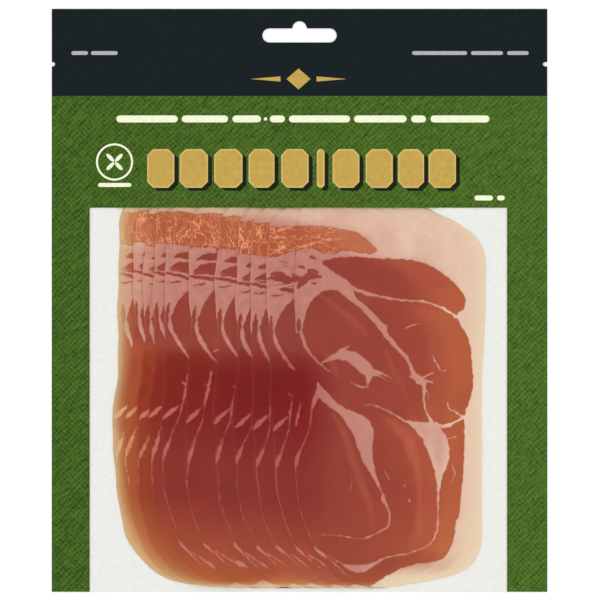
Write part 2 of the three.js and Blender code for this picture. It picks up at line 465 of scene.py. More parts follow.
def clearFilm():
    graph = Graph("clearFilm")
    graph.nodes.remove(graph.shader)
    gloss = graph.add("BsdfGlossy", Color=(1, 1, 1, 1), Roughness=clearLook["roughness"])
    through = graph.add("BsdfTransparent", Color=(*clearLook["tint"], 1))
    # mirrors little from straight above and more at a glancing angle, alike from both sides
    angle = graph.add("LayerWeight", Blend=0.5).outputs["Facing"]
    share = graph.maths("POWER", angle, clearLook["steepness"])
    share = graph.maths("MULTIPLY", share, clearLook["glancing"])
    share = graph.maths("ADD", share, clearLook["straight"])
    mix = graph.add("MixShader", Fac=share)
    graph.feed(mix.inputs[1], through.outputs["BSDF"])
    graph.feed(mix.inputs[2], gloss.outputs["BSDF"])
    graph.feed(graph.nodes["Material Output"].inputs["Surface"], mix.outputs["Shader"])
    return graph.material


hamLook = {
    # colours by how many layers of meat lie on each other there
    "right": [(1, (177, 91, 61)), (2, (169, 82, 60)), (3, (155, 70, 54)), (4, (150, 67, 54)),
              (6, (145, 64, 53)), (8, (144, 64, 53)), (11, (144, 66, 56))],
    "left": [(1, (180, 100, 56)), (2, (166, 82, 49)), (3, (147, 63, 43)), (4, (141, 56, 44)),
             (5, (135, 52, 45)), (11, (133, 51, 47))],
    "crimson": [(1, (165, 85, 52)), (2, (160, 73, 45)), (3, (138, 49, 34)), (4, (130, 40, 31)),
                (6, (123, 35, 33)), (11, (119, 30, 35))],
    "foot": [(1, (206, 150, 98)), (2, (192, 122, 73)), (3, (181, 106, 61)), (4, (179, 96, 55)),
             (6, (171, 87, 57)), (11, (168, 82, 58))],
    "orange": [(1, (185, 116, 77)), (2, (190, 113, 80)), (3, (174, 93, 64)), (6, (172, 87, 59)),
               (11, (172, 88, 61))],
    "fat": [(1, (222, 188, 165)), (2, (206, 157, 139)), (3, (196, 141, 122)), (4, (190, 130, 116)),
            (6, (187, 126, 113)), (11, (184, 122, 109))],
    "leaf": [(1, (214, 160, 122)), (2, (197, 126, 96)), (3, (190, 110, 92)), (5, (180, 100, 90)),
             (7, (173, 91, 84)), (11, (173, 91, 85))],
    "fatBlush": (200, 130, 120), "blushPatches": 2.2, "fatShade": 0.08, "blushShade": 0.35,
    "net": (240, 164, 118), "netShare": 0.85, "fineNetShare": 0.4,
    "coarseNet": (230.0, 0.042, 1.0), "fineNet": (480.0, 0.05, 4.0),      # scale, width of its lines, seed
    "netGaps": 0.4,          # below this height of a second, wider noise the lines are missing
    "pale": (204, 116, 88), "paleShare": 0.18,
    "gold": (206, 175, 129), "cap": (192, 172, 134), "cream": (229, 208, 177), "edge": (236, 168, 132),
    # painted shadow: the slice below is darker just beside the slice that lies on top
    "paintedShadow": (146, 74, 58),       # just beside the slice that lies on top
    "filmHaze": 0.0075, "filmPass": 0.9,     # what the clear film adds to colours and lets through
    "softness": 0.45,        # mm over which meat turns to fat
    "leanReach": 0.62,       # share of lean where that border's middle lies
    "ragged": 0.5, "jagged": 0.5,      # mm, how uneven that border is, finely and coarsely
    "grainScale": 1000.0, "lumpScale": 330.0, "cloudScale": 60.0,
    "grain": 0.2, "cloudy": 0.45, "uneven": 0.2,      # of all colours, of the lean, and of the pile's depth
    "roughness": 0.5, "gloss": 0.08, "bump": 0.03, "bumpHeight": 0.0001,
}


def underFilm(rgb):
    # the meat's own colour for one that is read through the clear film
    linear = toLinear(rgb)[:3]
    return (*(max(0.002, (part - hamLook["filmHaze"]) / hamLook["filmPass"]) for part in linear), 1.0)


def layerTones(graph, depth, name):
    stops = [((layers - 1) / (sliceCount - 1), underFilm(rgb)) for layers, rgb in hamLook[name]]
    return graph.tones(depth, stops)


def marblingNet(graph, scale, width, seed):
    # thin winding lines, missing in patches
    where = graph.mark("netPlace", "Vector")
    hills = graph.noise(where, scale, 2.5, noise_dimensions="4D", Roughness=0.6, W=seed)
    patches = graph.noise(where, scale * 0.6, 2.0, noise_dimensions="4D", W=seed + 5)
    away = graph.maths("ABSOLUTE", graph.centred(hills, 1.0))
    thick = graph.maths("MULTIPLY", graph.maths("SUBTRACT", patches, hamLook["netGaps"]), width * 5)
    away = graph.maths("DIVIDE", away, graph.maths("MAXIMUM", thick, 0.001))
    return graph.maths("SUBTRACT", 1.0, away, clamp=True)


def hamMeat():
    graph = Graph("curedHam")
    place = graph.place()
    grain = graph.noise(place, hamLook["grainScale"], 4.0, Roughness=0.6)
    lumps = graph.noise(place, hamLook["lumpScale"], 2.0)
    cloud = graph.noise(place, hamLook["cloudScale"], 3.0)

    # uneven border between lean and fat
    border = graph.maths("ADD", graph.mark("fatDistance"), graph.centred(grain, hamLook["ragged"] * 2))
    border = graph.maths("ADD", border, graph.centred(lumps, hamLook["jagged"] * 2))
    border = graph.maths("DIVIDE", border, hamLook["softness"])
    leanShare = graph.maths("ADD", border, hamLook["leanReach"], clamp=True)

    # lean meat by depth of the pile and by zone
    deep = graph.maths("ADD", graph.mark("layersDeep"), graph.centred(cloud, hamLook["uneven"]))
    meat = layerTones(graph, deep, "right")
    for name in ("left", "crimson", "foot"):
        meat = graph.mix(graph.mark(name + "Share"), meat, layerTones(graph, deep, name))
    meat = graph.mottled(meat, cloud, hamLook["cloudy"])
    meat = graph.mix(graph.mark("orangeShare"), meat, layerTones(graph, deep, "orange"))

    # the orange muscle's net of fat, and fainter streaks of the muscles' own skins
    fineNet = graph.maths("MULTIPLY", marblingNet(graph, *hamLook["fineNet"]), hamLook["fineNetShare"])
    net = graph.maths("MAXIMUM", marblingNet(graph, *hamLook["coarseNet"]), fineNet)
    net = graph.maths("MULTIPLY", net, graph.mark("netShare"))
    meat = graph.mix(graph.maths("MULTIPLY", net, hamLook["netShare"]), meat, underFilm(hamLook["net"]))
    pale = graph.maths("MULTIPLY", graph.mark("paleShare"), hamLook["paleShare"])
    meat = graph.mix(pale, meat, underFilm(hamLook["pale"]))

    # fat, blushing in places, and thin and darker where it lies in narrow leaves
    blush = graph.mark("blushShare")
    shade = graph.maths("ADD", graph.maths("MULTIPLY", blush, hamLook["blushShade"]), hamLook["fatShade"])
    fat = graph.mottled(layerTones(graph, deep, "fat"), lumps, shade)
    blush = graph.maths("MULTIPLY", graph.centred(lumps, hamLook["blushPatches"]), blush, clamp=True)
    fat = graph.mix(blush, fat, underFilm(hamLook["fatBlush"]))
    for name in ("cream", "cap"):
        fat = graph.mix(graph.mark(name + "Share"), fat, underFilm(hamLook[name]))
    fat = graph.mix(graph.mark("leafShare"), fat, layerTones(graph, deep, "leaf"))

    colour = graph.mottled(graph.mix(leanShare, fat, meat), grain, hamLook["grain"])
    # the gold rim, a painted shadow beside the slice that lies on top, and a lighter line along each slice's
    # left edge
    for name in ("gold", "paintedShadow", "edge"):
        colour = graph.mix(graph.mark(name + "Share"), colour, underFilm(hamLook[name]))
    return graph.finish(colour, hamLook, grain)


floorLook = {"dark": (252, 252, 252), "light": (255, 255, 255), "roughness": 0.9, "gloss": 0.1, "glow": 0.2}


def floorPaint():
    graph = Graph("paleFloor")
    noise = graph.add("TexNoise", Scale=8.0).outputs["Fac"]
    graph.feed(graph.shader.inputs["Emission Color"], (1, 1, 1, 1))
    graph.feed(graph.shader.inputs["Emission Strength"], floorLook["glow"])
    colour = graph.tones(noise, [(0.0, toLinear(floorLook["dark"])), (1.0, toLinear(floorLook["light"]))])
    return graph.finish(colour, floorLook)


# camera, lights and floor
studio = {
    "lens": 300.0, "sensor": 36.0, "floorSize": 8.0,
    "lampTilt": 54.0, "lampDistance": 2.4, "lampSize": 2.0, "lampWatts": 16.8,
    "lamps": {"north": 0.0, "east": 90.0, "south": 180.0, "west": 270.0},
    "sky": 0.45,
}


def makeStudio():
    scene = bpy.context.scene
    scene.view_settings.view_transform = "Standard"
    scene.view_settings.look = "None"
    camera = bpy.data.objects.new("camera", bpy.data.cameras.new("camera"))
    camera.data.lens = studio["lens"]
    camera.data.sensor_width = studio["sensor"]
    width = photo["size"] * photo["pixel"]
    middle = fromPhoto([photo["size"] / 2, photo["size"] / 2])
    camera.location = Vector((middle[0], middle[1], width * studio["lens"] / studio["sensor"])) * mm
    scene.collection.objects.link(camera)
    scene.camera = camera

    world = bpy.data.worlds.new("studio")
    world.use_nodes = True
    world.node_tree.nodes["Background"].inputs["Color"].default_value = (1, 1, 1, 1)
    world.node_tree.nodes["Background"].inputs["Strength"].default_value = studio["sky"]
    scene.world = world

    for name, bearing in studio["lamps"].items():
        lamp = bpy.data.lights.new(name + "Lamp", "AREA")
        lamp.size = studio["lampSize"]
        lamp.energy = studio["lampWatts"]
        obj = bpy.data.objects.new(name + "Lamp", lamp)
        tilt, turn = math.radians(studio["lampTilt"]), math.radians(bearing)
        obj.location = Vector((math.sin(tilt) * math.sin(turn), math.sin(tilt) * math.cos(turn),
                               math.cos(tilt))) * studio["lampDistance"]
        obj.rotation_euler = (-obj.location).to_track_quat("-Z", "Y").to_euler()
        scene.collection.objects.link(obj)

    half = studio["floorSize"] / 2 / mm
    floor = addMesh("floor", [(-half, -half, 0), (half, -half, 0), (half, half, 0), (-half, half, 0)],
                    [(0, 1, 2, 3)])
    floor.location.z = -0.0002
    floor.data.materials.append(floorPaint())
    print("studio ready")


# The slices' marks are in the photo pixels of the topmost slice. Muscles are closed outlines of
# lean meat, and what is outside them is fat.
muscles = {
    "top": [
        (250, 227.5), (266, 227.5), (280, 226.8), (300, 226.2), (312, 225.8), (330, 227), (345, 229.5),
        (355, 232.3), (364, 237.2), (371, 243.5), (376.3, 249), (376, 252), (371.5, 254.3),
        (360, 252.8), (350, 250.7), (342, 251), (338, 252.7), (331, 254.9), (325, 254), (319.5, 252),
        (316, 249), (309, 248.2), (300, 250), (290, 252.5), (280, 255.6), (273, 257.5), (250, 258),
    ],
    "main": [
        (262, 333), (299, 334), (303, 327), (305.5, 316), (307.5, 307), (311, 301.5), (316.7, 295.7),
        (323, 291), (333.6, 288.8), (341, 292.6), (351, 301.8), (361, 308.7), (372, 320), (380.3, 332),
        (386, 338), (387.9, 327), (379.5, 320), (368, 307), (356.5, 298.7), (353.5, 291), (349, 281),
        (339.7, 276.5), (329.7, 269.6), (320, 262), (327.4, 259.7), (337.4, 257.4), (356.5, 256.6),
        (372, 258.5), (403, 258.8), (422, 262), (433.6, 267.3), (445, 275), (456.5, 285), (463.4, 294),
        (465.7, 301), (464, 309), (455, 315), (460.4, 324.5), (466, 334), (470.3, 343), (472, 363.6),
        (473.4, 386.5), (470.3, 398.8), (465.7, 411), (462.7, 417), (464.6, 424), (464.2, 458),
        (461, 496.5), (459.3, 515.5), (455.2, 522), (454.8, 534.6), (451, 547.4), (444.6, 556.3),
        (438.3, 560.8), (428.7, 562.7), (416, 563.3), (406.4, 566), (400, 568.4), (389, 574), (377, 582),
        (360, 592), (335, 598), (308, 598), (262, 598),
    ],
}
# on the slices below, the top muscle is deeper and the main one starts lower on its left
lowerMuscles = {
    "top": [
        (250, 227), (266, 227.5), (280, 227), (300, 227.4), (312, 226.4), *muscles["top"][5:14],
        (350, 253), (340, 256), (331, 259), (322, 261.5), (315, 259.5), (308, 260.5),
        (301, 258.6), (296, 260), (290, 259), (250, 260),
    ],
    "main": [(262, 338), (297, 339), (302, 332), (305, 323), (308.5, 314.5), (314, 307.5), (320, 302),
             (327, 296), *muscles["main"][8:]],
}

# fat that runs through the lean: (x, y, width) along each vein
veins = {
    "underUpperMuscle": [(352, 288, 3), (364, 292.5, 4), (372, 295, 3), (387, 298, 2), (403, 300.6, 2),
                         (422, 300.8, 1.8), (429.7, 303.3, 2), (441, 307, 2), (449, 312, 2), (457, 317, 3)],
    "mainSeam": [(385, 334, 6), (391, 341, 5), (397, 348, 4), (403, 354, 3.5), (408, 360, 3.5),
                 (411, 367, 3.5), (413, 374, 5), (419, 380, 9), (424, 383, 5), (424, 391, 3),
                 (423.6, 401.8, 1.6), (425.2, 409.5, 1.8), (429, 417, 3), (432, 422, 3)],
    "starEast": [(420, 381, 5), (428, 381, 2), (433, 382, 1)],
    "starNorthEast": [(420, 379, 4), (428, 375, 1.4), (432.8, 372.5, 0.8)],
    "starWest": [(418, 380, 4), (409, 376, 1)],
    "starSouthEast": [(423, 388, 2), (429, 393, 1.2), (428, 399, 0.8)],
    "leftWedgeVein": [(301, 332, 3.4), (303, 339, 3.2), (305.3, 346, 3.4), (309, 352, 3.4),
                      (313.7, 357.4, 3), (317, 361.5, 2.6), (321, 365, 1.8), (330, 372, 0.8)],
    "crescent": [(320, 364, 1.5), (327, 360, 2.5), (334, 356.5, 6), (342, 354.5, 10), (350, 356, 12),
                 (358, 361, 13), (365, 368, 14), (370, 372, 9), (367.5, 381, 4), (367.8, 390, 1)],
    "crescentHorn": [(338, 354, 6), (343, 349, 4), (349, 346.5, 1)],
    "crescentEast": [(372, 371, 6), (382.6, 373.5, 1.8), (390, 377, 1.2), (394, 382, 0.8)],
    "crescentSouthEast": [(370, 374, 4), (380, 376, 1.2), (389, 381.5, 0.8)],
    "crescentWest": [(366, 386.5, 2), (358.8, 386.8, 1.8), (351, 382, 1)],
    "stripJunction": [(318, 382, 2), (319, 389, 6), (323, 395, 11), (329, 401, 9), (336, 407, 7),
                      (345, 413, 9), (353, 420, 16), (361, 426, 21), (364, 434, 20), (364.5, 443, 16),
                      (366, 453, 12), (369, 463, 8.5), (373, 473, 5.5), (377, 482, 3), (380, 488, 1.5),
                      (383, 494, 2)],
    "stripLeftLimb": [(319, 391, 6), (315, 399, 4.5), (312, 407, 2), (311, 418, 1.4), (309.8, 428, 1),
                      (305, 440, 1), (300, 450, 1.4), (298, 455, 4), (296.5, 460, 5), (295.8, 466, 2.4),
                      (295.3, 473, 1), (296, 485, 0.9), (298.4, 502.7, 0.9), (303, 519.5, 0.9),
                      (310.6, 536, 0.9)],
    "stripHook": [(383, 494, 3), (382.5, 499, 4.2), (387, 505, 2.2), (389.4, 513, 2.4), (389.5, 520, 2),
                  (387.5, 527, 2.4), (383, 529, 1.5), (375.7, 533.6, 1.2), (364, 538, 1.2),
                  (356.5, 538.6, 1.2), (341, 535, 1), (320, 533.6, 0.6)],
    "rightHook": [(364, 405.5, 1.4), (371.8, 404, 1.4), (378.7, 407, 1.2), (387, 410.3, 1.2),
                  (395, 415, 1.4), (405, 421, 2)],
    "triangle": [(405, 421, 2), (414, 424, 6), (423, 429, 14), (431, 433, 21), (436, 441, 23),
                 (438.5, 450, 22), (440, 459, 18), (439.5, 468, 11), (438.8, 478, 6), (438.3, 487, 3.4),
                 (438, 497, 1.6), (437.8, 512, 1.3), (438, 525.6, 1.2), (435.7, 534.6, 1.2),
                 (432, 541.7, 1.2), (425.5, 546.8, 1.2), (416, 550.6, 1.2), (406.4, 553.5, 1.3),
                 (400, 554.5, 1.4), (387, 556.6, 1.8), (379.5, 560, 2.6), (370, 565.5, 4.4),
                 (361, 568.5, 8), (352, 568, 7), (345, 565, 2), (337.4, 560.4, 1.2), (327.4, 555, 1.2)],
    "triangleEast": [(436, 424, 5), (442, 427, 4), (449, 425, 2.6), (456, 421.5, 2.2), (463, 417, 3)],
    "triangleSpur": [(444, 439, 4), (450, 438, 1.2), (456, 436.6, 0.8)],
    "leftTriangle": [(314.5, 546, 0.8), (317.5, 550, 3.6), (321.5, 553.5, 3), (327, 557, 1.2),
                     (337, 565, 0.9), (349, 577, 0.6)],
    "fleckNorth": [(404.5, 328.4, 1.6), (410.6, 325.3, 1.3), (416, 324.2, 1.2), (422, 324.5, 0.8)],
    "fleckMiddle": [(432, 354, 0.8), (434, 359, 1.2), (438, 366.6, 1.4), (440.5, 371, 1.2), (446, 371, 0.7)],
    "fleckEast": [(447, 403, 0.8), (449, 409, 1.2), (455, 411.8, 1.2), (462.7, 416, 1.8)],
    "fleckLow": [(452, 465, 0.8), (455.6, 473, 1.3), (449.6, 484, 0.7)],
    "fleckLeft": [(350, 474, 0.7), (352, 483, 1.1), (350, 489, 0.7)],
    "fleckRight": [(404, 484, 1.0), (405, 487, 0.7)],
    "fleckMiddleLow": [(408, 497, 0.7), (410, 502, 1.2)],
    "fleckSlant": [(385, 471, 0.7), (389, 480, 1.1)],
    "leafRowOne": [(295.5, 425, 0.8), (297, 419, 3), (299, 411, 2.2), (300.5, 402, 0.8)],
}

# lean scraps inside the fat: (x, y, width)
scraps = {
    "darkSpot": [(298.8, 320, 3), (298.6, 326, 5), (298.8, 331, 3)],
    "lobeOne": [(271.5, 274.5, 2), (275, 273.3, 3.5), (280, 273.6, 4.5), (284, 275, 3)],
    "lobeTwo": [(267, 278.8, 1.5), (273, 278.5, 3), (280, 278.8, 6), (287, 279.3, 7), (294, 280, 5),
                (300, 278.3, 3.5), (304, 278.8, 1.5)],
    "lobeTie": [(292, 274, 1), (295, 275.5, 1.6), (299, 277.5, 1.6)],
    "lobeThree": [(298.5, 287.5, 3), (301, 283, 7), (305, 279, 8), (310, 275.5, 8), (315, 276, 5.5),
                  (320, 276.5, 3)],
    "lobeFour": [(308.5, 270.5, 2), (313, 270.3, 3), (318, 272.5, 2)],
    "vessel": [(311.5, 257.5, 3.6), (314.5, 258, 3.2)],
    "spot": [(298, 266, 1.5), (301, 266.5, 3), (304.5, 268.5, 1.8)],
    "squiggleOne": [(280, 261.5, 0.9), (284, 262, 1.4), (288, 263, 0.9)],
    "squiggleTwo": [(283.5, 265.5, 0.8), (287.5, 266.5, 1.1)],
    "fleck": [(312, 282.6, 1.2), (315.5, 284, 1.5)],
    "slantLine": [(266, 290.3, 1), (274, 288.5, 1.5), (280, 286, 1.5), (283, 283.8, 1.2), (290, 284, 1)],
}

# the same place on the slices below, where the lean scraps lie in rows
lowerScraps = {
    "darkSpot": [(299.3, 318, 1.4), (298.2, 326, 4.6), (297.2, 334, 6), (297, 342, 5)],
    "upperLobe": [(303.2, 271.8, 1), (307, 270.5, 4.4), (314, 270, 7), (322, 270, 7.6), (332, 270.5, 6)],
    "lowerLobe": [(300, 283, 1.2), (304.5, 281.5, 4.4), (311, 280.5, 8), (320, 280.5, 8.6), (332, 281, 7)],
    "lobeTail": [(301, 285, 1.2), (310, 285.6, 2.2), (320, 286.6, 2.6), (332, 288, 3)],
    "slantLine": [(290, 286.5, 2), (300, 288.5, 2.5), (310, 290.7, 3), (320, 292.9, 3.6), (332, 295, 3)],
    "slantFleck": [(299, 297, 0.8), (305, 297.3, 1.9), (311, 295.6, 1.0)],
}

lowerVeins = dict(veins)
lowerVeins.update({
    "leftWedgeVein": [(300.5, 334, 4.4), (302.5, 343, 4.2), (306, 351.5, 4), (311, 360, 3.4),
                      (316, 367.5, 2.6), (324, 375, 1.8), (333, 382, 1)],
    "tallSpot": [(319, 384, 1), (318, 392, 3), (316.5, 400, 3.8), (314.5, 407, 3.2), (311, 416, 1.2),
                 (309.8, 426, 1)],
    "leafRowOne": [(292.5, 432.5, 0.8), (296, 429, 4.2), (300.5, 425.3, 5), (305, 421.3, 2.6),
                   (309, 418, 0.8)],
    "leafTie": [(312, 415, 1.1), (309.5, 431, 1), (304, 445, 1.1), (298, 457, 1.5)],
    "tallSpotBranch": [(311.5, 395, 1), (315, 398, 2.2), (319, 397, 1)],
    "stripHook": veins["stripHook"][:8],
    "leafRowTwo": [(295.5, 470, 0.8), (297, 463, 5), (300, 456.5, 3.5), (303, 450, 0.8)],
    "stripLeftLimb": [(295.8, 466, 2), *veins["stripLeftLimb"][10:]],
    "leftTriangle": [(314.5, 546, 0.8), (317, 549.5, 3.2), (320.5, 552.6, 2.6), (325, 556, 1.2),
                     (332, 562, 0.8), (339, 568, 0.5)],
})
lowerVeins.pop("stripJunction")
lowerVeins.pop("starEast")

# pale streaks in the lean: (x, y, width)
paleStreaks = {
    "upper": [(319, 295, 3), (331, 303, 6), (345, 313, 7), (358, 325, 6), (368, 336, 3)],
    "underCrescent": [(318, 350.5, 3), (325, 352, 4), (331, 361, 6), (335, 369, 8), (337, 377, 4)],
    "belowCrescent": [(385, 350, 3), (392, 368, 5), (400, 384, 5), (408, 398, 2)],
    "leftOfSpot": [(333, 414, 3), (345, 433, 9), (352, 459, 10), (362, 484, 9), (371, 506, 7), (372, 530, 3)],
    "middle": [(383, 416, 3), (402, 430, 12), (413, 450, 13), (418.5, 470, 9), (419.5, 500, 5),
               (419.5, 532, 3)],
}

markGrid = {"left": 258.0, "right": 500.0, "top": 186.0, "bottom": 604.0, "step": 0.6, "reach": 9.0}
markXs = np.arange(markGrid["left"], markGrid["right"], markGrid["step"])
markYs = np.arange(markGrid["top"], markGrid["bottom"], markGrid["step"])
gridX, gridY = np.meshgrid(markXs, markYs)


# Marks are signed distances in photo pixels on an even grid over one slice.

def outlineDistance(points):
    # distance to a closed outline, negative inside it
    points = roundedCorners(points, closed=True)
    distance = np.full(gridX.shape, 1e9)
    for start, end in zip(points, np.roll(points, -1, axis=0)):
        distance = np.minimum(distance, toSegment(gridX, gridY, *start, *end)[0])
    return np.where(insideOutline(points, gridX, gridY), -distance, distance)


def lineDistance(lines):
    # distance to lines of changing width, negative within them
    field = np.full(gridX.shape, markGrid["reach"])
    for line in lines.values():
        points = roundedCorners(line, closed=False)
        for (x0, y0, w0), (x1, y1, w1) in zip(points[:-1], points[1:]):
            reach = markGrid["reach"] + max(w0, w1) / 2
            columns = slice(*np.searchsorted(markXs, (min(x0, x1) - reach, max(x0, x1) + reach)))
            rows = slice(*np.searchsorted(markYs, (min(y0, y1) - reach, max(y0, y1) + reach)))
            distance, along = toSegment(gridX[rows, columns], gridY[rows, columns], x0, y0, x1, y1)
            distance = distance - (w0 + (w1 - w0) * along) / 2
            field[rows, columns] = np.minimum(field[rows, columns], distance)
    return field


def makeMarks():
    # for the topmost slice and for those below it: distance to fat (negative in it), and
    # distance to the orange top muscle and to the pale streaks
    fields = {}
    for name, muscleSet, veinSet, scrapSet in (("top", muscles, veins, scraps),
                                               ("lower", lowerMuscles, lowerVeins, lowerScraps)):
        orange = outlineDistance(muscleSet["top"])
        lean = np.minimum(orange, outlineDistance(muscleSet["main"]))
        fat = np.minimum(-lean, lineDistance(veinSet))
        fields[name] = np.maximum(fat, -lineDistance(scrapSet))
        fields[name + "Orange"] = orange
        fields[name + "Pale"] = lineDistance(paleStreaks)
    print("marks drawn")
    return fields


plainFoot = {"slices": 4, "rows": (480, 515), "fade": 6.0}      # the first slices have no marks at their foot
topZone = {"row": 287.5, "blur": 4.0}      # above this row slice 10 carries on the topmost slice's marks
markBends = {
    # how the marks wave on the slices below: pixels, mm of a wave's length, change from slice to slice
    "x": [(1.1, 9.0, 2.3), (0.6, 3.7, 1.0)],
    "y": [(1.3, 11.0, 1.9), (0.7, 3.3, 2.7)],
    # and on all of them a fine ripple: pixels, and mm of its lengths
    "ripple": 0.45, "rippleX": (0.62, 1.7, 2.9, 2.2), "rippleY": (0.66, -1.9, 2.6, -3.1),
    "liftRows": (240, 430, 560), "liftShares": (1, 0.9, 0.25),
}


def bendOf(index, side, along, across):
    bend = 0.0
    if index < sliceCount - 2:
        for size, length, turn in markBends[side.lower()]:
            bend = bend + size * np.sin(along / length + index * turn)
    a, b, c, d = markBends["ripple" + side]
    ripple = np.sin(along / a + across / b + index) * np.sin(along / c - across / d)
    return bend + markBends["ripple"] * ripple


def markPlace(index, x, y):
    # where a point of the pack lies on the topmost slice's marks
    rows = rowOf(y)
    shift = shiftOf(index, rows)
    lift = sliceLayout["lifts"][index] * np.interp(rows, markBends["liftRows"], markBends["liftShares"])
    if index == sliceCount - 2:
        below = ramp(rows, topZone["row"] - topZone["blur"], topZone["row"] + topZone["blur"])
        shift, lift = shift * below, lift * below
    return columnOf(x) - shift + bendOf(index, "X", y, x), rows + lift + bendOf(index, "Y", x, y)


def markAt(fields, index, x, y, kind=""):
    place = markPlace(index, x, y)
    top, lower = (readGrid(fields[name + kind], markXs, markYs, *place) for name in ("top", "lower"))
    if index == sliceCount - 1:
        return top * photo["pixel"]
    if index < plainFoot["slices"] and not kind:
        lower = lower + plainFoot["fade"] * ramp(rowOf(y), *plainFoot["rows"])
    if index == sliceCount - 2:
        lower = np.where(rowOf(y) < topZone["row"], top, lower)
    return lower * photo["pixel"]


sliceMesh = {
    "step": 0.4, "coarse": 9, "underStep": 5, "margin": 2.0, "bottomSteps": (0.04, 0.14, 0.26),
    "taper": 1.3, "thinEdge": 0.3,      # mm over which an edge thins out, and to what share
    "sharpFrom": 50,         # degrees
}


def sliceGrid(index):
    # rows from the bottom edge up, columns close together where the slice shows
    foot, top = footOf(index), sliceBoxes[index][1][1]
    step = sliceMesh["step"]
    rows = np.arange(foot + step, top, step)
    ys = np.concatenate([[foot], foot + np.array(sliceMesh["bottomSteps"]), rows, [top]])
    left, right = sideX(index, ys)
    if index == sliceCount - 1:
        low, high = sliceBoxes[-1]
        shown = np.linspace(0, 1, int((high[0] - low[0]) / step))
        xs = left[:, None] + (right - left)[:, None] * shown[None, :]
    else:
        nextLeft, _ = sideX(index + 1, ys)
        strip = np.max(nextLeft - left) + sliceMesh["margin"]
        near = np.arange(0, strip, step)
        far = np.linspace(0, 1, sliceMesh["coarse"])[1:]
        rest = right - left - near[-1]
        xs = np.concatenate([left[:, None] + near[None, :],
                             left[:, None] + near[-1] + rest[:, None] * far[None, :]], axis=1)
    return xs, np.repeat(ys[:, None], xs.shape[1], axis=1)


def slabFaces(rows, columns):
    # closed slab: the upper grid, a coarser one under it and walls between their rims;
    # also tells which points of the upper grid have one below
    step = sliceMesh["underStep"]
    pickedRows = sorted({*range(0, rows, step), rows - 1})
    pickedColumns = sorted({*range(0, columns, step), columns - 1})
    upper = np.arange(rows * columns).reshape(rows, columns)
    picked = upper[np.ix_(pickedRows, pickedColumns)]
    under = rows * columns + np.arange(picked.size).reshape(picked.shape)

    def quads(grid):
        return np.stack([grid[:-1, :-1], grid[:-1, 1:], grid[1:, 1:], grid[1:, :-1]], axis=-1).reshape(-1, 4)

    faces = quads(upper).tolist() + quads(under)[:, ::-1].tolist()
    rims = [(upper[0], under[0], pickedColumns, True), (upper[-1], under[-1], pickedColumns, False),
            (upper[:, 0], under[:, 0], pickedRows, False), (upper[:, -1], under[:, -1], pickedRows, True)]
    for high, low, places, turned in rims:
        for spot, (start, end) in enumerate(zip(places[:-1], places[1:])):
            wall = [*high[start:end + 1].tolist(), int(low[spot + 1]), int(low[spot])]
            faces.append(wall[::-1] if turned else wall)
    return faces, picked.ravel()


zoneLook = {
    # photo columns or rows over which a look comes in, and over which it goes again
    "leftEnd": (298, 346), "leftRows": (342, 364), "footRows": (498, 590), "rightFoot": 0.3,
    "crimsonRows": (340, 374, 400, 478), "crimsonLean": 0.1, "crimsonColumn": 215, "crimsonWave": (4, 15, 21),
    "blushRows": (240, 252, 330, 350), "pinkDepth": 1.2,
    "leafRows": (338, 362), "leafFoot": (522, 552), "leafFade": 0.75,
    "capRows": (207, 215.5), "capShare": 0.6, "capDrop": 6, "capDropColumns": (180, 300),
    "cornerRows": (490, 555), "cornerColumns": (150, 230), "bottomRows": (560, 578),
    "goldColumns": (330, 400), "goldShare": 0.9, "goldCurve": 1.5,
    "goldWidth": 2.6, "goldFootWidth": 1.2, "goldCornerWidth": 3.6,     # mm
    "creamRows": (208, 240), "creamWidth": 4.5, "creamWider": 0.8, "creamWiderRows": (480, 560),
    "creamFootRows": (562, 578), "creamFootColumns": (356, 380), "creamFoot": 0.8,
    # along an edge: rows over which it comes in and then weakens, both shares, and its width in mm
    "edge": ((214, 226, 300, 345), (0.32, 0.06), 0.34),
    # painted shadow on the slice below, along the left edge of the slice on top
    "paintedShadow": ((214, 228, 300, 350), (0.5, 0.1), 0.5),
    "netEnd": (338, 350), "netStretch": (1.25, 0.75), "topNetStretch": (0.6, 1.3), "netApart": 13.0,
    "orangeEdge": (-0.6, 0.9), "paleEdge": (-1.6, 0.8),      # mm across a border
    # how much a layer of fat counts in the pile's depth, and what is added at the foot
    "fatDepth": 0.1, "fatDepthAdded": 0.7, "deepFoot": (545, 562),
    "layerEdge": 1.6, "layerBlur": 3.5,      # mm over which a hidden edge and hidden fat show through
}

# the pile's left and bottom outline, in photo pixels
pileOutline = [
    (124.2, 206), *((x, row) for row, x in leftOutline[2:18]),
    (192, 585), (234, 587), (280, 588), (364, 588), (400, 585),
]


def pileOutlineDistance(x, y):
    points = fromPhoto(pileOutline)
    distance = np.full(x.shape, 1e9)
    for start, end in zip(points[:-1], points[1:]):
        distance = np.minimum(distance, toSegment(x, y, *start, *end)[0])
    return distance


def between(value, start, full, fade, end):
    return ramp(value, start, full) * (1 - ramp(value, fade, end))


def alongEdge(name, rows, away):
    (start, full, fade, end), (strong, weak), width = zoneLook[name]
    share = ramp(rows, start, full) * (strong + (weak - strong) * ramp(rows, fade, end))
    return share * np.exp(-np.maximum(away, 0) / width)


